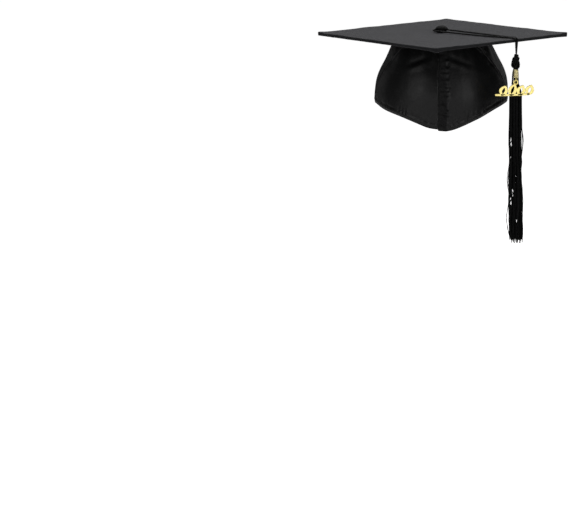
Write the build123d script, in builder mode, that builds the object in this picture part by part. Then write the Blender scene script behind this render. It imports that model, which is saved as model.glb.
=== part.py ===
"""Graduation cap: covered square board, soft skull cap, button, and a corded tassel with a charm.

Frame: millimetres, +Z up, -Y is the front (the board's front corner and the skull cap's point).
The origin is the centre of the head opening, level with the rim at the sides of the head.
"""
from build123d import *
import math
import os

# --- board -------------------------------------------------------------------------------------
BOARD_SIDE = 241.0              # nine and a half inches
BOARD_CORNER_RADIUS = 3.0
CORE_THICKNESS = 3.0            # chipboard
FABRIC = 0.7                    # cover cloth with its glue
BOARD_EDGE_ROUND = 1.2
TURNED_HEM = 12.0               # cover cloth turned under the board
BUTT_GAP = 0.2                  # lining stops short of the turned hem
BOARD_UNDERSIDE = 89.0
CORE_BOTTOM = BOARD_UNDERSIDE + FABRIC
BOARD_THICKNESS = CORE_THICKNESS + 2 * FABRIC
BOARD_TOP = BOARD_UNDERSIDE + BOARD_THICKNESS
BOARD_TURN = 45                 # degrees: the corners lie on the X and Y axes

# --- button ------------------------------------------------------------------------------------
BUTTON_RADIUS = 8.5
BUTTON_NECK_RADIUS = 6.7
BUTTON_HEIGHT = 8.0
BUTTON_CLOTH = 0.6
BUTTON_NECK_HEIGHT = 2.7
BUTTON_RIM_HEIGHT = 4.0
SHANK_RADIUS = 1.2
SHANK_HOLE_RADIUS = 1.25
SHANK_DEPTH_IN_BUTTON = 5.0
BACKPLATE_RADIUS = 7.0
BACKPLATE_THICKNESS = 0.8
RIVET_HEAD_RADIUS = 2.2
RIVET_HEAD_HEIGHT = 0.6

# --- skull cap ---------------------------------------------------------------------------------
RIM_RADIUS = 91.0
CURVE_START = 8.0               # the side wall is upright below this height
CURVE_RADIUS = 105.0            # side view radius of the bulging part of the wall
CURVE_ANGLE = 27.0              # degrees turned by that part, and the slope above it
CAP_TOP = BOARD_UNDERSIDE - FABRIC
CROWN_RADIUS = 63.0
CAP_LOW = -40.0                 # below every point of the rim
REACH = 100.0                   # beyond the cap on every side
POINT_DEPTH = 27.5              # where the two sloping rim edges would meet in front
POINT_ROUND = 70.0
BACK_RISE = 8.0                 # the rim rises at the back, over the nape
SIDE_SEAM_FORWARD = 14.0        # side seams meet the rim this far in front of the middle
SIDE_SEAM_LEAN = 20.2           # degrees that the side seams lean forward
PANEL_CLOTH = 0.8
LAYER = 0.6                     # inner layers
LAYER_GAP = 0.1
SEAM_ALLOWANCE = 9.5
SIDE_ALLOWANCE = 4.0
ALLOWANCE_TOP = 82.0
HEM_HEIGHT = 12.0
SWEATBAND_HEIGHT = 28.0
CASING_TOP = 24.0
ELASTIC_LOW = 10.0
ELASTIC_HIGH = 22.0
ELASTIC_FRONT = 18.0            # the elastic's ends are sewn down this far behind the middle
LABEL_HALF_WIDTH = 14.0
LABEL_LOW = 12.0
LABEL_HIGH = 22.0
LABEL_THICKNESS = 0.4

# --- tassel ------------------------------------------------------------------------------------
TASSEL_X = 101.4
TASSEL_Y = -71.84
CORD_DIAMETER = 2.2
CORD_SPLIT = 91.5               # height where the lying cord hands over to the hanging cord
JOINT_GAP = 0.05
KNOT_TOP = 74.0
KNOT_COLLAR_RADIUS = 3.9
BALL_TOP = 68.6
BALL_MIDDLE = 61.6
BALL_RADIUS = 5.9
NECK_TOP = 54.2
NECK_RADIUS = 1.8
COIL_WIRE_RADIUS = 0.8
COIL_PITCH = 1.9
COIL_CLEARANCE = 0.05
COIL_LOW = 42.1
COIL_HEIGHT = 11.0
FRINGE_TOP = 41.0
SHOULDER_MIDDLE = 31.0
SHOULDER_LOW = 17.0
FRINGE_BOTTOM = -177.0
FRINGE_RADII = (2.4, 6.2, 8.5, 9.4)

# --- charm -------------------------------------------------------------------------------------
CHARM_Y = -83.0
CHARM_THICKNESS = 1.5
CHARM_BASE = 19.2
RING_WIRE_RADIUS = 0.45
RING_END_RADIUS = 2.2
RING_MIDDLE = 41.4
RING_BACK = -78.0               # centre of the ring's round end at the coil
RING_FRONT = -83.6              # centre of its round end in front of the charm
EYE_RADIUS = 2.6
EYE_WIRE_RADIUS = 0.9
EYE_MIDDLE = 38.0
LEAF_WIDTH = 11.4
LEAF_STROKE = 3.0
LEAF_SPACING = 11.4
LEAF_LEAN = 20.0
STEM_WIDTH = 3.0

# The cord's route: out of the knot, up, over the board's edge, along the board, round the button
# and back the same way. Corners of the route, in order.
CORD_ROUTE = [
    (101.4, -70.6, 74.0),
    (102.7, -70.6, 93.1),
    (101.4, -69.3, 94.8),
    (66.0, -36.0, 94.9),
    (4.0, 10.0, 96.6),
    (-3.4, 10.4, 96.6),
    (-9.4, 6.4, 96.6),
    (-11.6, -0.6, 96.6),
    (-8.9, -6.6, 96.4),
    (56.8, -49.2, 94.9),
    (99.0, -71.7, 94.8),
    (100.2, -73.1, 93.1),
    (101.4, -73.1, 74.0),
]

os.makedirs("parts", exist_ok=True)


def write_node(builder, name):
    """Label a finished sub-part and write its STEP file."""
    builder.part.label = name
    export_step(builder.part, f"parts/{name}.step")


# --- board -------------------------------------------------------------------------------------
def square(side, height):
    """Rounded square, its corners on the axes, at a height."""
    corner = BOARD_CORNER_RADIUS - (BOARD_SIDE - side) / 2
    with BuildSketch(Plane.XY.offset(height)) as outline:
        RectangleRounded(side, side, max(corner, 1.0), rotation=BOARD_TURN)
    return outline.sketch


with BuildPart() as board_core:
    extrude(square(BOARD_SIDE - 2 * FABRIC, CORE_BOTTOM), amount=CORE_THICKNESS)
    rim_edges = board_core.faces().sort_by(Axis.Z)[0].edges() + board_core.faces().sort_by(Axis.Z)[-1].edges()
    fillet(rim_edges, radius=BOARD_EDGE_ROUND - FABRIC)
solid_core = board_core.part

with BuildPart() as board_cover:
    extrude(square(BOARD_SIDE, BOARD_UNDERSIDE), amount=BOARD_THICKNESS)
    rim_edges = board_cover.faces().sort_by(Axis.Z)[0].edges() + board_cover.faces().sort_by(Axis.Z)[-1].edges()
    fillet(rim_edges, radius=BOARD_EDGE_ROUND)
    add(solid_core, mode=Mode.SUBTRACT)
    extrude(square(BOARD_SIDE - 2 * TURNED_HEM, BOARD_UNDERSIDE), amount=FABRIC, mode=Mode.SUBTRACT)
    with BuildSketch(Plane.XY.offset(BOARD_UNDERSIDE)):
        Circle(SHANK_HOLE_RADIUS)
    extrude(amount=BOARD_THICKNESS, mode=Mode.SUBTRACT)
write_node(board_cover, "board_cover")

with BuildPart() as holed_core:
    add(solid_core)
    with BuildSketch(Plane.XY.offset(CORE_BOTTOM)):
        Circle(SHANK_HOLE_RADIUS)
    extrude(amount=CORE_THICKNESS, mode=Mode.SUBTRACT)
write_node(holed_core, "board_core")

with BuildPart() as board_lining:
    extrude(square(BOARD_SIDE - 2 * TURNED_HEM - 2 * BUTT_GAP, BOARD_UNDERSIDE), amount=FABRIC)
    with BuildSketch(Plane.XY.offset(BOARD_UNDERSIDE)):
        Circle(SHANK_HOLE_RADIUS)
    extrude(amount=FABRIC, mode=Mode.SUBTRACT)
write_node(board_lining, "board_underside_lining")


# --- button ------------------------------------------------------------------------------------
def button_face(inset):
    """Half profile of the covered button, drawn inset inside its surface."""
    base = BOARD_TOP + inset
    neck = BUTTON_NECK_RADIUS - inset
    rim = BUTTON_RADIUS - inset
    rim_level = BOARD_TOP + BUTTON_RIM_HEIGHT
    crown = BOARD_TOP + BUTTON_HEIGHT - inset
    with BuildSketch(Plane.XZ) as face:
        with BuildLine():
            Polyline(
                (0, base),
                (neck, base),
                (neck, BOARD_TOP + BUTTON_NECK_HEIGHT + inset / 2),
                (rim, rim_level),
            )
            Spline((rim, rim_level), (0, crown), tangents=((0, 1), (-1, 0)), tangent_scalars=(1.0, 1.2))
            Line((0, crown), (0, base))
        make_face()
    return face.sketch


with BuildPart() as button_blank:
    revolve(button_face(BUTTON_CLOTH), axis=Axis.Z)

with BuildPart() as button_cover:
    revolve(button_face(0), axis=Axis.Z)
    add(button_blank.part, mode=Mode.SUBTRACT)
    with BuildSketch(Plane.XY.offset(BOARD_TOP)):
        Circle(SHANK_HOLE_RADIUS)
    extrude(amount=BUTTON_CLOTH, mode=Mode.SUBTRACT)
write_node(button_cover, "button_cover")

with BuildPart() as button_core:
    add(button_blank.part)
    with BuildSketch(Plane.XY.offset(BOARD_TOP)):
        Circle(SHANK_HOLE_RADIUS)
    extrude(amount=SHANK_DEPTH_IN_BUTTON, mode=Mode.SUBTRACT)
write_node(button_core, "button_core")

BACKPLATE_BOTTOM = CAP_TOP - BACKPLATE_THICKNESS

with BuildPart() as button_backplate:
    with BuildSketch(Plane.XY.offset(BACKPLATE_BOTTOM)):
        Circle(BACKPLATE_RADIUS)
        Circle(SHANK_HOLE_RADIUS, mode=Mode.SUBTRACT)
    extrude(amount=BACKPLATE_THICKNESS)
    chamfer(button_backplate.edges().group_by(Axis.Z)[0].sort_by(SortBy.RADIUS)[-1], 0.3)
write_node(button_backplate, "button_backplate")

with BuildPart() as button_shank:
    with BuildSketch(Plane.XY.offset(BACKPLATE_BOTTOM - RIVET_HEAD_HEIGHT)):
        Circle(RIVET_HEAD_RADIUS)
    extrude(amount=RIVET_HEAD_HEIGHT)
    with BuildSketch(Plane.XY.offset(BACKPLATE_BOTTOM)):
        Circle(SHANK_RADIUS)
    extrude(amount=BOARD_TOP + SHANK_DEPTH_IN_BUTTON - BACKPLATE_BOTTOM)
write_node(button_shank, "button_shank")


# --- skull cap ---------------------------------------------------------------------------------
def wall_face(inset):
    """Half profile of the skull cap's volume, drawn inset inside its outer surface."""
    slope = math.radians(CURVE_ANGLE)
    arc_radius = CURVE_RADIUS - inset
    arc_end = (
        RIM_RADIUS - CURVE_RADIUS + arc_radius * math.cos(slope),
        CURVE_START + arc_radius * math.sin(slope),
    )
    top_radius = arc_end[0] - (CAP_TOP - arc_end[1]) * math.tan(slope)
    with BuildSketch(Plane.XZ) as face:
        with BuildLine():
            upright = Line((RIM_RADIUS - inset, CAP_LOW), (RIM_RADIUS - inset, CURVE_START))
            JernArc(upright @ 1, (0, 1), arc_radius, CURVE_ANGLE)
            Polyline(arc_end, (top_radius, CAP_TOP), (0, CAP_TOP), (0, CAP_LOW), upright @ 0)
        make_face()
    return face.sketch


def cap_shell(outer_inset, inner_inset):
    """Layer of the skull cap's wall between two depths, all the way round."""
    with BuildPart() as shell:
        revolve(wall_face(outer_inset), axis=Axis.Z)
        revolve(wall_face(inner_inset), axis=Axis.Z, mode=Mode.SUBTRACT)
    return shell.part


def front_band(low, high):
    """Space in front, between two lines parallel to the pointed rim."""
    end = POINT_DEPTH * (REACH / RIM_RADIUS - 1)
    with BuildSketch(Plane.XZ) as face:
        with BuildLine():
            Polyline(
                (-REACH, end + low),
                (0, low - POINT_DEPTH),
                (REACH, end + low),
                (REACH, end + high),
                (0, high - POINT_DEPTH),
                (-REACH, end + high),
                close=True,
            )
        make_face()
        fillet(face.vertices().filter_by(lambda corner: abs(corner.X) < 1), radius=POINT_ROUND)
    with BuildPart() as band:
        extrude(face.sketch, amount=REACH)
    return band.part


def back_band(low, high):
    """Space between the rising back rim, lifted by low, and a level plane."""
    drop = BACK_RISE * ((REACH / RIM_RADIUS) ** 2 - 1)
    with BuildSketch(Plane.XZ) as face:
        with BuildLine():
            ThreePointArc((-REACH, low - drop), (0, low + BACK_RISE), (REACH, low - drop))
            Polyline((REACH, low - drop), (REACH, high), (-REACH, high), (-REACH, low - drop))
        make_face()
    with BuildPart() as band:
        extrude(face.sketch, amount=REACH, both=True)
    return band.part


def side_seam(shift=0.0):
    """Plane of the two side seams, moved forward by shift; its front is the cap's front."""
    lean = math.radians(SIDE_SEAM_LEAN)
    return Plane(
        origin=(0, -SIDE_SEAM_FORWARD - shift, 0),
        x_dir=(1, 0, 0),
        z_dir=(0, -math.cos(lean), -math.sin(lean)),
    )


outer_layer = cap_shell(0, PANEL_CLOTH)
INNER_1 = PANEL_CLOTH + LAYER_GAP
INNER_2 = INNER_1 + LAYER + LAYER_GAP
INNER_3 = INNER_2 + LAYER + LAYER_GAP
middle_layer = cap_shell(INNER_1, INNER_1 + LAYER)
inner_layer = cap_shell(INNER_2, INNER_2 + LAYER)

for name, kept_side in (("front_panel_left", Keep.BOTTOM), ("front_panel_right", Keep.TOP)):
    with BuildPart() as front_panel:
        add(outer_layer)
        add(front_band(0, 2 * REACH), mode=Mode.INTERSECT)
        split(bisect_by=side_seam(), keep=Keep.TOP)
        split(bisect_by=Plane.YZ, keep=kept_side)
    write_node(front_panel, name)

for name, kept_side in (("back_panel_left", Keep.BOTTOM), ("back_panel_right", Keep.TOP)):
    with BuildPart() as back_panel:
        add(outer_layer)
        add(back_band(0, REACH), mode=Mode.INTERSECT)
        split(bisect_by=side_seam(), keep=Keep.BOTTOM)
        split(bisect_by=Plane.YZ, keep=kept_side)
    write_node(back_panel, name)

with BuildPart() as crown_top:
    with BuildSketch(Plane.XY.offset(CAP_TOP)):
        Circle(CROWN_RADIUS)
        Circle(SHANK_HOLE_RADIUS, mode=Mode.SUBTRACT)
    extrude(amount=FABRIC)
write_node(crown_top, "crown_top")


def upright_strip(x_low, x_high, z_low, z_high, front):
    """Block over a range of X and Z, in front of or behind the middle of the cap."""
    with BuildPart() as block:
        with BuildSketch(Plane.XZ):
            with Locations(((x_low + x_high) / 2, (z_low + z_high) / 2)):
                Rectangle(x_high - x_low, z_high - z_low)
        extrude(amount=REACH if front else -REACH)
    return block.part


with BuildPart() as front_seam_allowance:
    add(middle_layer)
    add(front_band(1.0, 2 * REACH), mode=Mode.INTERSECT)
    add(upright_strip(0.5, SEAM_ALLOWANCE, CAP_LOW, ALLOWANCE_TOP, True), mode=Mode.INTERSECT)
write_node(front_seam_allowance, "front_seam_allowance")

with BuildPart() as back_seam_allowance:
    add(middle_layer)
    add(upright_strip(-SIDE_ALLOWANCE, SIDE_ALLOWANCE, CASING_TOP, ALLOWANCE_TOP, False), mode=Mode.INTERSECT)
write_node(back_seam_allowance, "back_seam_allowance")

for name, kept_side in (("side_seam_allowance_left", Keep.BOTTOM), ("side_seam_allowance_right", Keep.TOP)):
    with BuildPart() as side_allowance:
        add(middle_layer)
        split(bisect_by=side_seam(-SIDE_ALLOWANCE), keep=Keep.TOP)
        split(bisect_by=side_seam(SIDE_ALLOWANCE), keep=Keep.BOTTOM)
        split(bisect_by=Plane.YZ, keep=kept_side)
        split(bisect_by=Plane.XY.offset(CASING_TOP), keep=Keep.TOP)
        split(bisect_by=Plane.XY.offset(ALLOWANCE_TOP), keep=Keep.BOTTOM)
    write_node(side_allowance, name)

for name, x_low, x_high in (
    ("front_interlining_left", -REACH, -0.5),
    ("front_interlining_right", SEAM_ALLOWANCE + 0.5, REACH),
):
    with BuildPart() as interlining:
        add(middle_layer)
        add(front_band(1.0, 2 * REACH), mode=Mode.INTERSECT)
        add(upright_strip(x_low, x_high, CAP_LOW, ALLOWANCE_TOP, True), mode=Mode.INTERSECT)
        split(bisect_by=side_seam(SIDE_ALLOWANCE + 0.5), keep=Keep.TOP)
    write_node(interlining, name)

with BuildPart() as front_hem_facing:
    add(inner_layer)
    add(front_band(0.5, HEM_HEIGHT), mode=Mode.INTERSECT)
    split(bisect_by=side_seam(), keep=Keep.TOP)
write_node(front_hem_facing, "front_hem_facing")

with BuildPart() as sweatband:
    add(cap_shell(INNER_3, INNER_3 + LAYER))
    add(front_band(1.5, SWEATBAND_HEIGHT), mode=Mode.INTERSECT)
    split(bisect_by=side_seam(), keep=Keep.TOP)
write_node(sweatband, "sweatband")

with BuildPart() as elastic_casing:
    add(inner_layer)
    add(back_band(0.5, CASING_TOP), mode=Mode.INTERSECT)
    split(bisect_by=side_seam(-0.5), keep=Keep.BOTTOM)
write_node(elastic_casing, "elastic_casing")

with BuildPart() as elastic_band:
    add(middle_layer)
    split(bisect_by=Plane.XY.offset(ELASTIC_LOW), keep=Keep.TOP)
    split(bisect_by=Plane.XY.offset(ELASTIC_HIGH), keep=Keep.BOTTOM)
    split(bisect_by=Plane.XZ.offset(-ELASTIC_FRONT), keep=Keep.BOTTOM)
write_node(elastic_band, "elastic_band")

with BuildPart() as size_label:
    add(cap_shell(INNER_3, INNER_3 + LABEL_THICKNESS))
    add(
        upright_strip(-LABEL_HALF_WIDTH, LABEL_HALF_WIDTH, LABEL_LOW, LABEL_HIGH, False),
        mode=Mode.INTERSECT,
    )
write_node(size_label, "size_label")


# --- tassel cord -------------------------------------------------------------------------------
def corner_radii(points):
    """Radius of the arc at each corner of a route: 0.45 of its shorter run over tan(half turn)."""
    radii = []
    for before, corner, after in zip(points, points[1:], points[2:]):
        run_in = Vector(*corner) - Vector(*before)
        run_out = Vector(*after) - Vector(*corner)
        half_turn = math.radians(run_in.get_angle(run_out) / 2)
        radii.append(0.45 * min(run_in.length, run_out.length) / math.tan(half_turn))
    return radii


lying_route = [
    (*CORD_ROUTE[1][:2], CORD_SPLIT),
    *CORD_ROUTE[1:-1],
    (*CORD_ROUTE[-2][:2], CORD_SPLIT),
]
lying_radii = corner_radii(CORD_ROUTE)

with BuildPart() as lying_cord:
    with BuildLine() as lying_path:
        FilletPolyline(*lying_route, radius=lying_radii)
    with BuildSketch(Plane(origin=lying_route[0], z_dir=(0, 0, 1))):
        Circle(CORD_DIAMETER / 2)
    sweep(path=lying_path.wires()[0])
write_node(lying_cord, "tassel_cord_lying")
lying_length = lying_path.wires()[0].length
print("cord radii", [round(radius, 1) for radius in lying_radii])
print(
    "lying cord length", round(lying_length, 1),
    "volume", round(lying_cord.part.volume, 1),
    "section x length", round(math.pi * (CORD_DIAMETER / 2) ** 2 * lying_length, 1),
)

with BuildPart() as hanging_cord:
    for knot_end, edge_end in ((CORD_ROUTE[0], CORD_ROUTE[1]), (CORD_ROUTE[-1], CORD_ROUTE[-2])):
        with BuildSketch(Plane(origin=(*knot_end[:2], KNOT_TOP + JOINT_GAP))):
            Circle(CORD_DIAMETER / 2)
        with BuildSketch(Plane(origin=(*edge_end[:2], CORD_SPLIT - JOINT_GAP))):
            Circle(CORD_DIAMETER / 2)
        loft()
write_node(hanging_cord, "tassel_cord_hanging")


# --- tassel ------------------------------------------------------------------------------------
tassel_axis = Axis((TASSEL_X, TASSEL_Y, 0), (0, 0, 1))
tassel_section = Plane(origin=(TASSEL_X, TASSEL_Y, 0), x_dir=(1, 0, 0), z_dir=(0, -1, 0))

with BuildPart() as tassel_knot:
    with BuildSketch(tassel_section):
        with BuildLine():
            Polyline((0, NECK_TOP), (0, KNOT_TOP), (KNOT_COLLAR_RADIUS, KNOT_TOP), (KNOT_COLLAR_RADIUS, BALL_TOP))
            ThreePointArc((KNOT_COLLAR_RADIUS, BALL_TOP), (BALL_RADIUS, BALL_MIDDLE), (3.0, NECK_TOP))
            Line((3.0, NECK_TOP), (0, NECK_TOP))
        make_face()
    revolve(axis=tassel_axis)
    fillet(tassel_knot.edges().group_by(Axis.Z)[-1], radius=0.8)
write_node(tassel_knot, "tassel_knot")

with BuildPart() as tassel_neck:
    with BuildSketch(Plane(origin=(TASSEL_X, TASSEL_Y, FRINGE_TOP))):
        Circle(NECK_RADIUS)
    extrude(amount=NECK_TOP - FRINGE_TOP)
write_node(tassel_neck, "tassel_neck")

coil_radius = NECK_RADIUS + COIL_CLEARANCE + COIL_WIRE_RADIUS
with BuildPart() as neck_coil:
    with BuildLine() as coil_path:
        Helix(pitch=COIL_PITCH, height=COIL_HEIGHT, radius=coil_radius, center=(TASSEL_X, TASSEL_Y, COIL_LOW))
    with BuildSketch(Plane(origin=coil_path.line @ 0, z_dir=coil_path.line % 0)):
        Circle(COIL_WIRE_RADIUS)
    sweep(path=coil_path.line, is_frenet=True)
write_node(neck_coil, "neck_coil")

with BuildPart() as tassel_fringe:
    with BuildSketch(tassel_section):
        with BuildLine():
            Line((0, FRINGE_TOP), (FRINGE_RADII[0], FRINGE_TOP))
            ThreePointArc(
                (FRINGE_RADII[0], FRINGE_TOP),
                (FRINGE_RADII[1], SHOULDER_MIDDLE),
                (FRINGE_RADII[2], SHOULDER_LOW),
            )
            Polyline(
                (FRINGE_RADII[2], SHOULDER_LOW),
                (FRINGE_RADII[3], FRINGE_BOTTOM),
                (0, FRINGE_BOTTOM),
                (0, FRINGE_TOP),
            )
        make_face()
    revolve(axis=tassel_axis)
write_node(tassel_fringe, "tassel_fringe")


# --- charm -------------------------------------------------------------------------------------
with BuildPart() as jump_ring:
    with BuildLine() as ring_path:
        front_low = (TASSEL_X, RING_FRONT, RING_MIDDLE - RING_END_RADIUS)
        front_tip = (TASSEL_X, RING_FRONT - RING_END_RADIUS, RING_MIDDLE)
        front_high = (TASSEL_X, RING_FRONT, RING_MIDDLE + RING_END_RADIUS)
        back_high = (TASSEL_X, RING_BACK, RING_MIDDLE + RING_END_RADIUS)
        back_tip = (TASSEL_X, RING_BACK + RING_END_RADIUS, RING_MIDDLE)
        back_low = (TASSEL_X, RING_BACK, RING_MIDDLE - RING_END_RADIUS)
        ThreePointArc(front_low, front_tip, front_high)
        Line(front_high, back_high)
        ThreePointArc(back_high, back_tip, back_low)
        Line(back_low, front_low)
    with BuildSketch(Plane(origin=front_low, z_dir=(0, -1, 0))):
        Circle(RING_WIRE_RADIUS)
    sweep(path=ring_path.wires()[0])
write_node(jump_ring, "jump_ring")


def open_leaf(length):
    """Pointed oval leaf with an open middle, its base at the origin."""
    with BuildSketch() as leaf:
        with BuildLine():
            ThreePointArc((0, 0), (LEAF_WIDTH / 2, 0.45 * length), (0, length))
            ThreePointArc((0, length), (-LEAF_WIDTH / 2, 0.45 * length), (0, 0))
        make_face()
        offset(amount=-LEAF_STROKE, mode=Mode.SUBTRACT)
    return leaf.sketch


charm_plane = Plane(
    origin=(TASSEL_X, CHARM_Y + CHARM_THICKNESS / 2, CHARM_BASE),
    x_dir=(1, 0, 0),
    z_dir=(0, -1, 0),
)
with BuildPart() as charm:
    with BuildSketch(charm_plane):
        with BuildLine():
            stem = ThreePointArc((-25.6, 1.8), (-5, 1.0), (17.4, 3.4))
            offset(amount=STEM_WIDTH / 2, kind=Kind.ARC)
        make_face()
        for place, length, lift in ((-2, 15.0, 0.4), (-1, 17.6, 0.2), (0, 15.6, 0.6), (1, 15.0, 1.6)):
            with Locations(Location(((place + 0.72) * LEAF_SPACING - 3.8, lift), -LEAF_LEAN)):
                add(open_leaf(length))
    extrude(amount=CHARM_THICKNESS)
    with Locations(Location((TASSEL_X, CHARM_Y, EYE_MIDDLE), (90, 0, 0))):
        Torus(EYE_RADIUS, EYE_WIRE_RADIUS)
write_node(charm, "leaf_charm")
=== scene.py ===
"""Looks for the graduation cap: cloth, cord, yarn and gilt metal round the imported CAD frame."""

import math

import bpy
import numpy as np
from mathutils import Matrix, Vector


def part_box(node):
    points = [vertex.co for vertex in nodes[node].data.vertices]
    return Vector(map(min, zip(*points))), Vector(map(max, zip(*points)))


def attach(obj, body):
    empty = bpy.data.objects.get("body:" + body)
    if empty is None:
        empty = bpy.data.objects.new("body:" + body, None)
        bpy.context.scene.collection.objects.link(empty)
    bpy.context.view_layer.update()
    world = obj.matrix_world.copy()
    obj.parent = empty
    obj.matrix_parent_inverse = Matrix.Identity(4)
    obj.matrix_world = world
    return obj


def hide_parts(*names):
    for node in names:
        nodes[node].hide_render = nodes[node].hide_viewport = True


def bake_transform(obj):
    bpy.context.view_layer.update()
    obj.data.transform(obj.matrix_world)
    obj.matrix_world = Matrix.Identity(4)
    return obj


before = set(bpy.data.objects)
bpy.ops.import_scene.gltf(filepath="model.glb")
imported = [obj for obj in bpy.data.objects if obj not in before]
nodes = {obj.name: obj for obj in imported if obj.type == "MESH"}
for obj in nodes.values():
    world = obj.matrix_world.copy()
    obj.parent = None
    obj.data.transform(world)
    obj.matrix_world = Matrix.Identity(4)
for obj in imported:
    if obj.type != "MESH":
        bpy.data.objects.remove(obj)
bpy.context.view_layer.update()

# Lengths in this script are millimetres until a mesh is made, and metres after that.
MM = 0.001


def box_mm(node):
    """Lowest and highest corner of a CAD node, in millimetres."""
    low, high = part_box(node)
    return np.array(low) / MM, np.array(high) / MM


# ---- sizes that the frame gives ----
cover_low, cover_high = box_mm("board_cover")
panel_low, panel_high = box_mm("back_panel_left")
knot_low, knot_high = box_mm("tassel_knot")
fringe_low, fringe_high = box_mm("tassel_fringe")
button_high = box_mm("button_cover")[1]

BOARD_TOP = cover_high[2]
BOARD_UNDERSIDE = cover_low[2]
BOARD_CORNER = 3.0
BOARD_HALF = (cover_high[0] + BOARD_CORNER * (math.sqrt(2) - 1)) / math.sqrt(2)
RIM_RADIUS = -panel_low[0]
CAP_TOP = panel_high[2]
TASSEL_X = (fringe_low[0] + fringe_high[0]) / 2
TASSEL_Y = (fringe_low[1] + fringe_high[1]) / 2

# ---- shape and layers of the skull cap, as in the CAD ----
CURVE_START = 8.0
CURVE_RADIUS = 105.0
CURVE_ANGLE = math.radians(27.0)
POINT_DEPTH = 27.5
POINT_ROUND = 70.0
BACK_RISE = 8.0
SIDE_SEAM_FORWARD = 14.0
SIDE_SEAM_LEAN = math.radians(20.2)
# angle from the front at which the side seams meet the rim
SEAM_AT_RIM = math.radians(81.2)
PANEL_CLOTH = 0.8
LAYER = 0.6
# depth of each inner layer under the outer face of the wall
INNER_1 = 0.9
INNER_2 = 1.6
INNER_3 = 2.3
HEM_HEIGHT = 12.0
SWEATBAND_HEIGHT = 28.0
CASING_TOP = 24.0
ELASTIC_LOW = 10.0
ELASTIC_HIGH = 22.0
LABEL_LOW = 12.0
LABEL_HIGH = 22.0
LABEL_HALF_WIDTH = 14.0
LABEL_THICKNESS = 0.4
ALLOWANCE_TOP = 82.0
SIDE_ALLOWANCE = 4.0
SEAM_ALLOWANCE = 9.5
# what shows on the satin: the band over the front seam's allowance, and the hem's stitched line
SEAM_BAND = 11.5
HEM_STITCH_HEIGHT = 8.0


def new_object(name, data):
    """Object that holds the data, in the scene."""
    made = bpy.data.objects.new(name, data)
    bpy.context.scene.collection.objects.link(made)
    return made


# ---- camera ----
CAMERA_DISTANCE = 2.6
CAMERA_AZIMUTH = math.radians(2.32)
CAMERA_ELEVATION = math.radians(7.71)
CAMERA_TARGET = Vector((0.0, 0.0, 0.05))
CAMERA_YAW = math.radians(-7.16)
CAMERA_PITCH = math.radians(13.642)
CAMERA_ROLL = math.radians(-0.70)
CAMERA_LENS = 119.44
CAMERA_SENSOR = 36.0
CAMERA_CLIP = (0.1, 60.0)


def make_camera():
    """A camera at the photograph's angle, aimed so that the cap stands in the upper right."""
    camera = new_object("camera", bpy.data.cameras.new("camera"))
    back = Vector((
        math.sin(CAMERA_AZIMUTH) * math.cos(CAMERA_ELEVATION),
        -math.cos(CAMERA_AZIMUTH) * math.cos(CAMERA_ELEVATION),
        math.sin(CAMERA_ELEVATION),
    ))
    camera.matrix_world = (
        Matrix.Translation(CAMERA_TARGET + back * CAMERA_DISTANCE)
        @ Matrix.Rotation(-CAMERA_YAW, 4, "Z")
        @ Matrix.Rotation(math.pi / 2 - CAMERA_PITCH, 4, "X")
        @ Matrix.Rotation(CAMERA_ROLL, 4, "Z")
    )
    camera.data.lens = CAMERA_LENS
    camera.data.sensor_width = CAMERA_SENSOR
    camera.data.clip_start, camera.data.clip_end = CAMERA_CLIP
    bpy.context.scene.camera = camera


make_camera()


# ---- materials ----
# A wave texture's bands turn through this many radians per unit of its scale.
WAVE_TURN = 20.0
# how softly the front seam's band fades out in metres, and how much duller it is: rougher, and with its
# colour darkened as painted shade
BAND_BLUR = 0.0006
BAND_DULLING_AND_SHADE = 0.34


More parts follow.
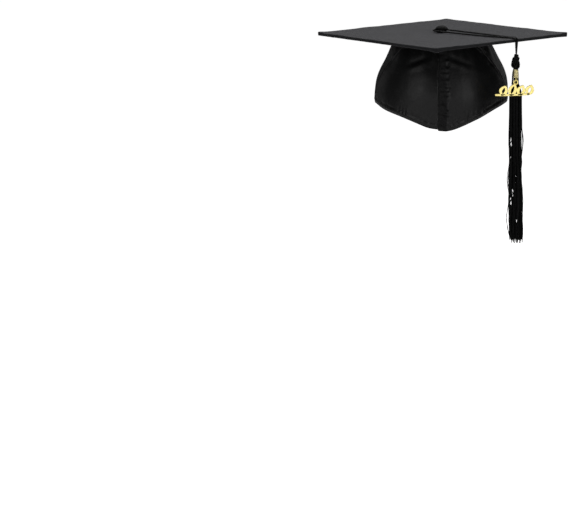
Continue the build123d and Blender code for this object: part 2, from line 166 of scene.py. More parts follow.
class Shader:
    """Small helper that adds and links shader nodes."""

    def __init__(self, name):
        self.material = bpy.data.materials.new(name)
        self.material.use_nodes = True
        self.tree = self.material.node_tree
        self.surface = self.tree.nodes["Principled BSDF"]

    def feed(self, node, inputs):
        """Link a node's inputs to sockets, or set them to plain values."""
        for key, value in inputs.items():
            if isinstance(value, bpy.types.NodeSocket):
                self.tree.links.new(value, node.inputs[key])
            else:
                node.inputs[key].default_value = value

    def add(self, kind, inputs=None, **settings):
        made = self.tree.nodes.new(kind)
        for key, value in settings.items():
            setattr(made, key, value)
        self.feed(made, inputs or {})
        return made

    def coordinates(self, uv):
        """Metres on the piece: its cloth_uv map, or the object's own coordinates."""
        if uv:
            return self.add("ShaderNodeUVMap", uv_map="cloth_uv").outputs["UV"]
        return self.add("ShaderNodeTexCoord").outputs["Object"]

    def noise(self, vector, scale, detail=3.0, roughness=0.5):
        made = self.add(
            "ShaderNodeTexNoise",
            {"Vector": vector, "Scale": scale, "Detail": detail, "Roughness": roughness},
        )
        return made.outputs["Fac"]

    def threads(self, vector, spacing, direction):
        made = self.add(
            "ShaderNodeTexWave",
            {"Vector": vector, "Scale": 2 * math.pi / (spacing * WAVE_TURN), "Distortion": 0.6,
             "Detail": 1.0, "Detail Scale": 3.0},
            wave_type="BANDS",
            bands_direction=direction,
            wave_profile="SIN",
        )
        return made.outputs["Fac"]

    def maths(self, operation, a, b):
        return self.add("ShaderNodeMath", {0: a, 1: b}, operation=operation).outputs[0]

    def weigh(self, a, share_a, b, share_b):
        """Sum of two values, each times its share."""
        return self.maths("ADD", self.maths("MULTIPLY", a, share_a), self.maths("MULTIPLY", b, share_b))

    def remap(self, value, low, high):
        made = self.add("ShaderNodeMapRange", {"Value": value, "To Min": low, "To Max": high})
        return made.outputs["Result"]

    def colour(self, fac, dark, light):
        made = self.add("ShaderNodeMix", data_type="RGBA")
        made.inputs["A"].default_value = (*dark, 1.0)
        made.inputs["B"].default_value = (*light, 1.0)
        self.tree.links.new(fac, made.inputs["Factor"])
        return next(out for out in made.outputs if out.type == "RGBA")

    def bump(self, height, distance, strength=1.0, normal=None):
        inputs = {"Height": height, "Distance": distance, "Strength": strength}
        if normal is not None:
            inputs["Normal"] = normal
        return self.add("ShaderNodeBump", inputs).outputs["Normal"]

    def finish(self, **inputs):
        """The material, once its surface has what it needs."""
        self.feed(self.surface, {key.replace("_", " "): value for key, value in inputs.items()})
        return self.material


def cloth(name, dark, light, thread, rough, weave_depth, uv=True, **fixed):
    """Plain woven cloth: crossed threads, uneven dye and a slightly uneven nap."""
    shader = Shader(name)
    place = shader.coordinates(uv)
    warp = shader.threads(place, thread, "X")
    weft = shader.threads(place, thread, "Y")
    weave = shader.maths("MULTIPLY", warp, weft)
    slub = shader.noise(place, 900.0, 4.0, 0.65)
    cloud = shader.noise(place, 45.0, 3.0)
    tone = shader.weigh(weave, 0.35, slub, 0.4)
    tone = shader.maths("ADD", tone, shader.maths("MULTIPLY", cloud, 0.25))
    height = shader.maths("ADD", weave, shader.maths("MULTIPLY", slub, 0.5))
    return shader.finish(
        Base_Color=shader.colour(tone, dark, light),
        Roughness=shader.remap(slub, rough - 0.08, rough + 0.08),
        Normal=shader.bump(height, weave_depth),
        **fixed,
    )


def satin(name, dark, light, rough, **fixed):
    """Satin: fine slanting floats, a little crushed, duller on the band along the front seam, where its
    colour is also darkened as painted shade.
    """
    shader = Shader(name)
    place = shader.coordinates(True)
    floats = shader.threads(place, 0.0004, "DIAGONAL")
    crush = shader.noise(place, 150.0, 5.0, 0.6)
    cloud = shader.noise(place, 30.0, 2.0)
    tone = shader.weigh(floats, 0.35, cloud, 0.65)
    across = shader.add("ShaderNodeSeparateXYZ", {"Vector": place}).outputs["X"]
    half_band = SEAM_BAND / 2 * MM
    from_band = shader.maths("ABSOLUTE", shader.maths("SUBTRACT", across, half_band), 0.0)
    on_band = shader.add(
        "ShaderNodeMapRange",
        {"Value": from_band, "From Min": half_band + BAND_BLUR, "From Max": half_band - BAND_BLUR,
         "To Min": 0.0, "To Max": BAND_DULLING_AND_SHADE},
        interpolation_type="SMOOTHSTEP",
    ).outputs["Result"]
    fine = shader.bump(floats, 0.00003, 0.5)
    # painted shade: the band's colour is darkened by the same share that makes it rougher
    tone = shader.maths("MULTIPLY", tone, shader.maths("SUBTRACT", 1.0, on_band))
    return shader.finish(
        Base_Color=shader.colour(tone, dark, light),
        Roughness=shader.maths("ADD", shader.remap(crush, rough - 0.07, rough + 0.09), on_band),
        Normal=shader.bump(crush, 0.0006, 0.5, fine),
        **fixed,
    )


def twisted(name, dark, light, rough, spacing, slope, **fixed):
    """Twisted yarn: fine fibres winding round the strand, from the strand's own map."""
    shader = Shader(name)
    place = shader.coordinates(True)
    turned = shader.add("ShaderNodeMapping", {"Vector": place, "Rotation": (0.0, 0.0, slope)})
    fibres = shader.threads(turned.outputs["Vector"], spacing, "X")
    fluff = shader.noise(place, 700.0, 4.0, 0.6)
    tone = shader.maths("MULTIPLY", shader.maths("ADD", fibres, fluff), 0.5)
    return shader.finish(
        Base_Color=shader.colour(tone, dark, light),
        Roughness=shader.remap(fluff, rough - 0.1, rough + 0.1),
        Normal=shader.bump(fibres, 0.00008, 0.8),
        **fixed,
    )


def plain(name, dark, light, rough, grain, depth, **fixed):
    """Metal, board or plastic with an uneven surface."""
    shader = Shader(name)
    place = shader.coordinates(False)
    grains = shader.noise(place, grain, 5.0, 0.6)
    wear = shader.noise(place, grain / 9.0, 3.0)
    return shader.finish(
        Base_Color=shader.colour(wear, dark, light),
        Roughness=shader.remap(grains, rough - 0.06, rough + 0.08),
        Normal=shader.bump(grains, depth, 0.6),
        **fixed,
    )


def grey(value):
    """A colour without a tint."""
    return (value, value, value)


BOARD_CLOTH = cloth(
    "board_cloth", (0.0055, 0.0055, 0.0062), (0.0105, 0.0105, 0.0118), 0.00045, 0.86, 0.00006,
    uv=False, Specular_IOR_Level=0.12, Sheen_Weight=0.155, Sheen_Roughness=0.45,
    Sheen_Tint=(0.95, 0.95, 1.0, 1.0),
)
CAP_SATIN = satin(
    "cap_satin", (0.0008, 0.0008, 0.0009), (0.0020, 0.0020, 0.0021), 0.43, Specular_IOR_Level=0.25
)
LINING = cloth(
    "inner_cloth", grey(0.004), grey(0.010), 0.0006, 0.8, 0.00008, Specular_IOR_Level=0.15
)
# The button is covered with the board's cloth; this copy is rougher, less shiny and without sheen, and its
# colour is darker than the board's as painted shade.
BUTTON_CLOTH_PAINTED_SHADE = cloth(
    "button_cloth_painted_shade", (0.0010, 0.0010, 0.0011), (0.0032, 0.0032, 0.0036), 0.00045, 0.8, 0.00006,
    Specular_IOR_Level=0.1,
)
INTERLINING = cloth(
    "interlining_cloth", grey(0.012), grey(0.03), 0.0008, 0.9, 0.0001, Specular_IOR_Level=0.15
)
ELASTIC = cloth(
    "knitted_elastic", grey(0.006), grey(0.02), 0.0012, 0.7, 0.0002, Specular_IOR_Level=0.2
)
LABEL = cloth(
    "label_cloth", (0.62, 0.62, 0.60), (0.82, 0.82, 0.80), 0.0004, 0.7, 0.00005,
    Specular_IOR_Level=0.3,
)
CORD = twisted(
    "cord_rayon", (0.0012, 0.0012, 0.0013), (0.0035, 0.0035, 0.0038), 0.55, 0.00035, 0.9,
    Specular_IOR_Level=0.12,
)
YARN = twisted(
    "fringe_rayon", (0.0008, 0.0008, 0.0009), (0.0024, 0.0024, 0.0026), 0.55, 0.0004, 0.8,
    Specular_IOR_Level=0.1,
)
GOLD = plain("gilt_metal", (0.95, 0.78, 0.25), (1.0, 0.86, 0.36), 0.30, 900.0, 0.00003, Metallic=1.0)
# The coil's gilt: a paler, partly diffuse copy of the charm's gilt, lighter so that the coil shows
# brighter, as painted light.
GILT_WIRE_PAINTED_LIGHT = plain("gilt_wire_painted_light", (1.0, 0.87, 0.44), (1.0, 0.92, 0.56), 0.34, 900.0, 0.00003, Metallic=0.55)
STEEL = plain("plain_steel", (0.36, 0.36, 0.37), (0.60, 0.60, 0.61), 0.4, 800.0, 0.00002, Metallic=1.0)
CHIPBOARD = plain("chipboard", (0.22, 0.17, 0.12), (0.45, 0.37, 0.27), 0.85, 500.0, 0.0002)
PLASTIC = plain("moulded_plastic", grey(0.02), grey(0.05), 0.5, 300.0, 0.00005)


# ---- mesh helpers ----
RIPPLE_WAVES = 14


def make_piece(name, points, faces, material, body, slot, replaced=(), uvs=None, seam_angle=None):
    """Mesh object from millimetre points, riding on a body and standing for CAD nodes."""
    mesh = bpy.data.meshes.new(name)
    mesh.from_pydata((np.asarray(points) * MM).tolist(), [], [list(map(int, face)) for face in faces])
    mesh.polygons.foreach_set("use_smooth", [True] * len(mesh.polygons))
    layer = mesh.uv_layers.new(name="cloth_uv")
    if uvs is None:
        uvs = np.asarray(points)[:, :2]
    corners = np.zeros(len(mesh.loops), np.int32)
    mesh.loops.foreach_get("vertex_index", corners)
    layer.data.foreach_set("uv", (np.asarray(uvs)[corners] * MM).astype(np.float32).ravel())
    mesh.materials.append(material)
    if seam_angle is not None:
        mesh.set_sharp_from_angle(angle=math.radians(seam_angle))
    piece = new_object(name, mesh)
    if body is not None:
        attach(piece, body)
    if replaced:
        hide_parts(*replaced)
    return piece


def strip_faces(rows, columns, closed, first=0, flip=False):
    """Quads over a grid of rows by columns of vertices, joined round if closed."""
    faces = []
    for row in range(rows - 1):
        for column in range(columns if closed else columns - 1):
            here = first + row * columns + column
            after = first + row * columns + (column + 1) % columns
            quad = (here, after, after + columns, here + columns)
            faces.append(quad[::-1] if flip else quad)
    return faces


def end_faces(rows, columns):
    """The two faces that close a grid joined round, at its first and its last row."""
    return [tuple(range(columns))[::-1], tuple(range((rows - 1) * columns, rows * columns))]


def ripple(points, wavelength, seed):
    """Smooth seeded unevenness of about unit size at points, in any number of dimensions."""
    random = np.random.default_rng(seed)
    points = np.asarray(points, float)
    total = np.zeros(points.shape[:-1])
    for _ in range(RIPPLE_WAVES):
        direction = random.normal(size=points.shape[-1])
        direction *= 2 * math.pi / (wavelength * random.uniform(0.7, 1.5)) / np.linalg.norm(direction)
        total += np.cos(points @ direction + random.uniform(0, 2 * math.pi))
    return total / math.sqrt(RIPPLE_WAVES / 2)


def ripple_over(across, along, wavelength, seed):
    """The same unevenness over two lengths given apart."""
    return ripple(np.stack((across, along), axis=-1), wavelength, seed)


def smooth_step(value, low, high):
    """Rises smoothly from 0 at low to 1 at high."""
    share = np.clip((value - low) / (high - low), 0, 1)
    return share * share * (3 - 2 * share)


def between(value, start, full, fade, end):
    """Rises smoothly from start to full and falls again from fade to end."""
    return smooth_step(value, start, full) * (1 - smooth_step(value, fade, end))


def bell(value, width):
    """Smooth bump, 1 at zero and gone at about twice the width."""
    return np.exp(-(value / width) ** 2)


def tube(path, radius, sides, twist=0.0, lobes=0, lobe_depth=0.0):
    """Points, faces and map of a tube along a path. Radius may vary; lobes give twisted plies."""
    path = np.asarray(path, float)
    count = len(path)
    radius = np.broadcast_to(radius, count)
    steps = np.linalg.norm(np.diff(path, axis=0), axis=1)
    along = np.concatenate(([0.0], np.cumsum(steps)))
    tangent = np.gradient(path, axis=0)
    tangent /= np.linalg.norm(tangent, axis=1)[:, None]
    start = np.array((0.0, 0.0, 1.0)) if abs(tangent[0][2]) < 0.8 else np.array((1.0, 0.0, 0.0))
    side = np.cross(tangent[0], start)
    side /= np.linalg.norm(side)
    angles = np.arange(sides) * 2 * math.pi / sides
    points = np.empty((count, sides, 3))
    for index in range(count):
        side = side - tangent[index] * (side @ tangent[index])
        side /= np.linalg.norm(side)
        across = np.cross(tangent[index], side)
        turned = angles + twist * along[index]
        reach = radius[index] * (1 - lobe_depth * (0.5 - 0.5 * np.cos(lobes * angles)))
        points[index] = (
            path[index]
            + (reach * np.cos(turned))[:, None] * side
            + (reach * np.sin(turned))[:, None] * across
        )
    faces = strip_faces(count, sides, True) + end_faces(count, sides)
    mean = float(np.mean(radius))
    uv = np.stack(np.broadcast_arrays(angles[None, :] * mean, along[:, None]), axis=-1)
    return points.reshape(-1, 3), faces, uv.reshape(-1, 2)


class Bundle:
    """Collects several meshes into one."""

    def __init__(self):
        self.points, self.faces, self.uvs, self.count = [], [], [], 0

    def add(self, points, faces, uvs):
        self.points.append(np.asarray(points))
        self.uvs.append(np.asarray(uvs))
        self.faces.extend(tuple(index + self.count for index in face) for face in faces)
        self.count += len(points)

    def make(self, name, material, body, slot, replaced=(), **more):
        return make_piece(
            name, np.vstack(self.points), self.faces, material, body, slot, replaced,
            uvs=np.vstack(self.uvs), **more,
        )


# ---- board ----
EDGE_SAMPLES = 64
CORNER_SAMPLES = 9
EDGE_ROUND = 1.2
TURNED_HEM = 12.0
CLOTH = 0.7
# out of sight over the lining, the cover's mesh closes this far below the core
BELOW_CORE = 0.04


def rounded_square(half, corner):
    """Outline of the board, its corners on the axes, always with the same number of points."""
    centre = half - corner
    arc = np.linspace(0, math.pi / 2, CORNER_SAMPLES)
    share = np.arange(1, EDGE_SAMPLES) / EDGE_SAMPLES
    x = np.concatenate((centre + corner * np.cos(arc), centre * (1 - 2 * share)))
    y = np.concatenate((centre + corner * np.sin(arc), np.full(len(share), half)))
    turn = math.pi / 4 + np.arange(4)[:, None] * math.pi / 2
    cos, sin = np.cos(turn), np.sin(turn)
    return np.stack((x * cos - y * sin, x * sin + y * cos), axis=-1).reshape(-1, 2)


def board_rings():
    """Rings of (inset from the edge, height) from the middle of the top to the middle underneath."""
    rings = [(BOARD_HALF * (1 - share), BOARD_TOP) for share in np.linspace(0.01, 0.985, 56)]
    turn = np.radians(np.linspace(0, 90, 6))
    edge = [(EDGE_ROUND * (1 - math.sin(angle)), EDGE_ROUND * (1 - math.cos(angle))) for angle in turn]
    rings += [(inset, BOARD_TOP - depth) for inset, depth in edge]
    rings.append((0.0, (BOARD_TOP + BOARD_UNDERSIDE) / 2))
    rings += [(inset, BOARD_UNDERSIDE + depth) for inset, depth in edge[::-1]]
    rings += [(inset, BOARD_UNDERSIDE) for inset in np.linspace(2.5, TURNED_HEM - 0.3, 8)]
    rings.append((TURNED_HEM, BOARD_UNDERSIDE + 0.15))
    hidden = BOARD_UNDERSIDE + CLOTH - BELOW_CORE
    rings += [(TURNED_HEM + 0.1, hidden), (BOARD_HALF * 0.99, hidden)]
    return rings


def make_board_cloth():
    """The cover cloth, pulled over the edges: a little uneven, thicker in the folds at the corners."""
    layers = []
    for inset, height in board_rings():
        half = BOARD_HALF - inset
        outline = rounded_square(half, min(max(BOARD_CORNER - inset, 1.0), half * 0.5))
        layers.append(np.column_stack((outline, np.full(len(outline), height))))
    grid = np.array(layers)
    flat = grid[..., :2]
    x, y = flat[..., 0], flat[..., 1]
    corner = np.minimum(
        np.hypot(np.abs(x) - cover_high[0], y), np.hypot(x, np.abs(y) - cover_high[1])
    )
    edge_on = np.maximum(np.abs(x + y), np.abs(x - y))
    outer = smooth_step(edge_on, BOARD_HALF * 1.1, BOARD_HALF * 1.38)
    top = grid[..., 2] > (BOARD_TOP + BOARD_UNDERSIDE) / 2
    under = grid[..., 2] < BOARD_UNDERSIDE + 0.5
    lift = 0.16 * ripple(flat, 70.0, 3) + 0.05 * ripple(flat, 14.0, 4)
    lift -= 0.15 * outer * (1 + 0.6 * ripple(flat, 30.0, 5))
    folded = bell(corner, 12.0)
    side_tip = smooth_step(np.abs(x), 100.0, 150.0)
    fold_above = np.clip(lift, -0.35, 0.22) + (0.15 + 0.85 * side_tip) * folded
    fold_below = (1.45 - np.where(x < 0, 1.45, 0.75) * side_tip) * folded
    grid[..., 2] += np.where(top, fold_above, 0.0)
    grid[..., 2] -= np.where(under, 0.05 * ripple(flat, 9.0, 6) + fold_below + 0.08, 0.0)
    spread = 1 + (0.10 * ripple(grid, 26.0, 7) * outer)[..., None] / BOARD_HALF
    grid[..., :2] *= spread
    rows, columns = grid.shape[:2]
    make_piece(
        "board_cloth", grid.reshape(-1, 3), strip_faces(rows, columns, True) + end_faces(rows, columns),
        BOARD_CLOTH, "cap", "board_cloth", ["board_cover"],
    )


make_board_cloth()


# ---- skull cap ----
def wall(height):
    """Radius of the skull cap's outer surface and its lean inwards, at a height."""
    lean = np.arcsin(np.clip((height - CURVE_START) / CURVE_RADIUS, 0, math.sin(CURVE_ANGLE)))
    straight = np.maximum(height - CURVE_START - CURVE_RADIUS * math.sin(CURVE_ANGLE), 0)
    radius = RIM_RADIUS - CURVE_RADIUS * (1 - np.cos(lean)) - straight * math.tan(CURVE_ANGLE)
    return radius, lean


def front_rim(x):
    """Height of the pointed front rim."""
    slope = math.atan(POINT_DEPTH / RIM_RADIUS)
    line = POINT_DEPTH * (np.abs(x) / RIM_RADIUS - 1)
    centre = -POINT_DEPTH + POINT_ROUND / math.cos(slope)
    arc = centre - np.sqrt(np.maximum(POINT_ROUND**2 - np.minimum(np.abs(x), POINT_ROUND * 0.9) ** 2, 0))
    return np.where(np.abs(x) < POINT_ROUND * math.sin(slope), arc, line)


def back_rim(x):
    """Height of the rim over the nape."""
    return BACK_RISE * (1 - (x / RIM_RADIUS) ** 2)


def rim(turn, x):
    """Height of the rim: pointed in front of the side seams, rising over the nape behind them."""
    return np.where(np.abs(turn) < SEAM_AT_RIM, front_rim(x), back_rim(x))


def seam_turn(height):
    """Angle from the front at which the slanting side seam stands, at a height."""
    radius, _ = wall(height)
    return np.arccos(np.clip((SIDE_SEAM_FORWARD + math.tan(SIDE_SEAM_LEAN) * height) / radius, -1, 1))


def round_cap(radius, turn, height):
    """Points round the cap's upright axis, their angles counted from the front."""
    return np.stack((radius * np.sin(turn), -radius * np.cos(turn), height), axis=-1)


def relief(turn, height):
    """How far the cloth stands out from the CAD's smooth wall, in millimetres."""
    radius, _ = wall(height)
    x = radius * np.sin(turn)
    across = RIM_RADIUS * turn
    place = round_cap(radius, turn, height)
    above_rim = height - rim(turn, x)
    # soft fullness and the creases that gather under the board
    out = 0.42 * ripple(place, 60.0, 11) + 0.07 * ripple(place, 20.0, 12)
    gathered = np.exp(-(CAP_TOP - height) / 20.0)
    out += 0.55 * gathered * ripple_over(across, 0.25 * height, 17.0, 13)
    left_crease = height - (64.0 + 0.30 * (across + 34.0))
    along_left = between(across, -58, -36, -32, -6)
    out += along_left * (1.0 * bell(left_crease + 6.5, 5.5) - 1.1 * bell(left_crease, 4.5))
    right_crease = height - (66.0 - 0.30 * (across - 26.0))
    along_right = between(across, 8, 24, 30, 60)
    out += along_right * (0.6 * bell(right_crease + 6.0, 5.0) - 0.7 * bell(right_crease, 4.0))
    # the sides sag in a little under the board, more on the left
    flank = smooth_step(np.abs(turn), 0.5, 1.3)
    out -= flank * bell(height - 58.0, 20.0) * np.where(turn < 0, 2.4, 1.2)
    # front seam, with its allowance pressed to one side and drawn into puckers
    out -= 0.75 * bell(across, 0.9) * (np.abs(turn) < 0.3)
    out += 0.55 * between(across, 0.2, 1.6, SEAM_BAND - 0.6, SEAM_BAND + 1.0)
    pucker = 0.7 * ripple_over(0.45 * across, height, 5.5, 14)
    pucker += 0.5 * ripple_over(0.6 * across, height + 0.5 * across, 10.0, 19)
    near_band = between(across, 0.5, 4.0, SEAM_BAND, SEAM_BAND + 5)
    out += 1.05 * pucker * near_band * (0.35 + 0.65 * bell(height - 8.0, 30.0))
    out += 0.15 * pucker * ((1 - smooth_step(-across, 0.5, 7.0)) * (across < 0))
    # slanting side seams: a groove between two soft ridges
    from_seam = (np.abs(turn) - seam_turn(height)) * radius
    out += -0.8 * bell(from_seam, 0.9) + 0.5 * bell(from_seam + 3.2, 2.4) + 0.3 * bell(from_seam - 3.0, 2.2)
    out += 0.22 * bell(from_seam, 7.0) * ripple_over(0.3 * across, height, 9.0, 15)
    # back seam
    out -= 0.7 * bell((math.pi - np.abs(turn)) * RIM_RADIUS, 0.9)
    # turned hem: stitched line, fullness under it, and a rim that curls in
    front = 1 - smooth_step(np.abs(turn), math.radians(78), math.radians(84))
    from_stitches = above_rim - HEM_STITCH_HEIGHT
    out -= 0.45 * bell(from_stitches, 0.8) * front
    out += 0.25 * bell(above_rim - HEM_STITCH_HEIGHT / 2, 2.6) * front
    out += 0.30 * front * bell(from_stitches, 5.0) * ripple_over(across, 0.2 * height, 5.5, 16)
    out -= 1.3 * (1 - smooth_step(above_rim, 0, 4.5)) * (1 - 0.6 * smooth_step(np.abs(turn), 0.6, 1.2))
    # elastic at the back draws the cloth into pleats
    behind = smooth_step(np.abs(turn), math.radians(98), math.radians(125))
    pleats = 0.5 + 0.5 * np.sin(across / 1.15 + 1.4 * ripple(across[..., None], 30.0, 17))
    out += behind * (1 - smooth_step(height, 22, 66)) * (2.6 * pleats - 3.6)
    out += behind * 0.8 * (1 - smooth_step(height, 40, 85)) * ripple_over(across, 0.3 * height, 13.0, 18)
    return out


def droop(turn, height):
    """How far the soft rim hangs away from its cut height: low just right of the front point."""
    x = RIM_RADIUS * np.sin(turn)
    fall = -4.6 * bell(x - 21.0, 30.0) + 1.1 * bell(x + 52.0, 20.0) + 2.4 * smooth_step(x, 52.0, 86.0)
    fall += 1.0 * bell(x + 20.0, 45.0) + 1.5 * bell(x, 11.0) * (x < 0)
    front = 1 - smooth_step(np.abs(turn), 1.35, 1.7)
    return fall * front * (1 - smooth_step(height, -8.0, 52.0))


def wall_point(turn, height, inset):
    """Point on the crumpled wall, a depth inside its outer surface."""
    radius, lean = wall(height)
    out = relief(turn, height) - inset
    lifted = height + out * np.sin(lean) + droop(turn, height)
    return round_cap(radius + out * np.cos(lean), turn, lifted)


FIRST_HEIGHT = 40.0
SETTLING_ROUNDS = 12


def layer_grid(turns, heights, columns, rows, ease):
    """Angles and heights over a patch, settled in rounds as its sides and ends follow one another."""
    share = np.linspace(0, 1, columns)[None, :] ** ease
    climb = np.linspace(0, 1, rows)[:, None]
    height = np.broadcast_to(FIRST_HEIGHT * climb, (rows, columns))
    for _ in range(SETTLING_ROUNDS):
        first = turns[0](height)
        turn = first + share * (turns[1](height) - first)
        x = wall(height)[0] * np.sin(turn)
        low = heights[0](turn, x)
        height = low + climb * (heights[1](turn, x) - low)
    return turn, height


def make_layer(
    node, weave, material, slot, turns, heights, inset, thickness, columns, rows, ease=1.0, fold=0.0
):
    """Closed sheet of cloth between two depths in the wall, standing for a CAD node."""
    turn, height = layer_grid(turns, heights, columns, rows, ease)
    outer = wall_point(turn, height, inset)
    inner = wall_point(turn, height, inset + thickness)
    middle = (outer[0] + inner[0]) / 2 - np.array((0.0, 0.0, fold))
    points = np.vstack((outer.reshape(-1, 3), inner.reshape(-1, 3), middle))
    size = rows * columns
    flip = turn[0, 0] > turn[0, -1]
    faces = strip_faces(rows, columns, False, 0, flip)
    faces += strip_faces(rows, columns, False, size, not flip)
    grid = np.arange(size).reshape(rows, columns)
    fold_line = 2 * size + np.arange(columns)
    for line_a, line_b in (
        (grid[0], fold_line), (fold_line, size + grid[0]), (size + grid[-1], grid[-1]),
        (size + grid[:, 0], grid[:, 0]), (grid[:, -1], size + grid[:, -1]),
    ):
        for a, b, c, d in zip(line_a, line_a[1:], line_b[1:], line_b):
            faces.append((a, b, c, d) if flip else (d, c, b, a))
    last = columns - 1
    for corner in ((0, 2 * size, size), (size + last, 2 * size + last, last)):
        faces.append(corner if flip else corner[::-1])
    cloth_map = np.stack((RIM_RADIUS * turn, height), axis=-1).reshape(-1, 2)
    uvs = np.vstack((cloth_map, cloth_map, cloth_map[:columns]))
    make_piece(
        f"{node}_{weave}", points, faces, material, "cap", slot, [node], uvs=uvs, seam_angle=60
    )


def at(turn, shift=0.0):
    """The same angle at every height, moved round by shift millimetres."""
    return lambda height: np.full(np.shape(height), turn + shift / RIM_RADIUS)


def seam(side, shift=0.0):
    """The slanting side seam on one side, moved round by shift millimetres."""
    return lambda height: side * (seam_turn(height) + shift / RIM_RADIUS)


def front_line(lift):
    """A line that lies a lift above the front rim."""
    return lambda turn, x: front_rim(x) + lift


def back_line(lift):
    """A line that lies a lift above the back rim."""
    return lambda turn, x: back_rim(x) + lift


def level(height):
    """A line at one height."""
    return lambda turn, x: np.full(np.shape(turn), height)


def make_skull_cap():
    """Every cloth layer of the skull cap, each following the same creases."""
    for side, hand in ((-1, "left"), (1, "right")):
        make_layer(
            f"front_panel_{hand}", "satin", CAP_SATIN, "cap_satin", (at(0.0), seam(side)),
            (front_line(0), level(CAP_TOP)), 0.0, PANEL_CLOTH, 120, 100, 1.25, 0.4,
        )
        make_layer(
            f"back_panel_{hand}", "satin", CAP_SATIN, "cap_satin", (seam(side), at(side * math.pi)),
            (back_line(0), level(CAP_TOP)), 0.0, PANEL_CLOTH, 260, 80, 1.0, 0.4,
        )
        make_layer(
            f"side_seam_allowance_{hand}", "cloth", LINING, "cap_satin",
            (seam(side, -SIDE_ALLOWANCE), seam(side, SIDE_ALLOWANCE)),
            (level(CASING_TOP), level(ALLOWANCE_TOP)), INNER_1, LAYER, 9, 40,
        )
    for side, hand, first in ((-1, "left", -0.5), (1, "right", 10.0)):
        make_layer(
            f"front_interlining_{hand}", "cloth", INTERLINING, "interlining",
            (at(0.0, first), seam(side, -4.5)), (front_line(1.0), level(ALLOWANCE_TOP)),
            INNER_1, LAYER, 60, 60,
        )
    make_layer(
        "front_seam_allowance", "cloth", LINING, "cap_satin", (at(0.0, 0.5), at(0.0, SEAM_ALLOWANCE)),
        (front_line(1.0), level(ALLOWANCE_TOP)), INNER_1, LAYER, 14, 90,
    )
    make_layer(
        "back_seam_allowance", "cloth", LINING, "cap_satin",
        (at(math.pi, -SIDE_ALLOWANCE), at(math.pi, SIDE_ALLOWANCE)),
        (level(CASING_TOP), level(ALLOWANCE_TOP)), INNER_1, LAYER, 9, 60,
    )
    make_layer(
        "front_hem_facing", "satin", CAP_SATIN, "cap_satin", (seam(-1), seam(1)),
        (front_line(0.5), front_line(HEM_HEIGHT)), INNER_2, LAYER, 220, 10, 1.0, 0.2,
    )
    make_layer(
        "sweatband", "twill", LINING, "sweatband_cloth", (seam(-1), seam(1)),
        (front_line(1.5), front_line(SWEATBAND_HEIGHT)), INNER_3, LAYER, 220, 24, 1.0, 0.2,
    )
    make_layer(
        "elastic_casing", "satin", CAP_SATIN, "cap_satin",
        (seam(1, 0.5), lambda height: 2 * math.pi - seam_turn(height) - 0.5 / RIM_RADIUS),
        (back_line(0.5), level(CASING_TOP)), INNER_2, LAYER, 460, 14, 1.0, 0.2,
    )
    make_layer(
        "elastic_band", "knit", ELASTIC, "elastic", (at(math.pi / 2 + 0.2), at(1.5 * math.pi - 0.2)),
        (level(ELASTIC_LOW), level(ELASTIC_HIGH)), INNER_1, LAYER, 320, 8,
    )
    make_layer(
        "size_label", "woven", LABEL, "label_cloth",
        (at(math.pi, -LABEL_HALF_WIDTH), at(math.pi, LABEL_HALF_WIDTH)),
        (level(LABEL_LOW), level(LABEL_HIGH)), INNER_3, LABEL_THICKNESS, 30, 12,
    )


make_skull_cap()

STITCH_PITCH = 2.8
STITCH_LENGTH = 2.0
STITCH_THICKNESS = 0.16 * np.array((0.5, 0.95, 1.0, 0.95, 0.5))
STITCH_DEPTH = 0.1 - 0.12 * np.sin(np.linspace(0, math.pi, 5))
# angles from the front, just clear of the side seams
HEM_STITCHES_END = 1.40
CASING_STITCHES_START = 1.46


def make_stitches(name, first, last, height_of):
    """A row of separate stitches lying on the cloth, from one angle to another."""
    bundle = Bundle()
    for start in np.arange(first, last, STITCH_PITCH / RIM_RADIUS):
        turn = start + np.linspace(0, STITCH_LENGTH, 5) / RIM_RADIUS
        path = wall_point(turn, height_of(turn, RIM_RADIUS * np.sin(turn)), STITCH_DEPTH)
        bundle.add(*tube(path, STITCH_THICKNESS, 6))
    bundle.make(name, CORD, "cap", "cap_satin")


make_stitches(
    "front_hem_stitching", -HEM_STITCHES_END, HEM_STITCHES_END, front_line(HEM_STITCH_HEIGHT)
)
make_stitches(
    "casing_stitching", CASING_STITCHES_START, 2 * math.pi - CASING_STITCHES_START,
    level(CASING_TOP - 1.0),
)


# ---- button ----
BUTTON_NECK = 6.7
BUTTON_FLAT = 5.5
BUTTON_PLEATS = 22
BUTTON_SEGMENTS = 120
# the padded cloth stands this far above the CAD's dome
BUTTON_PADDING = 1.5


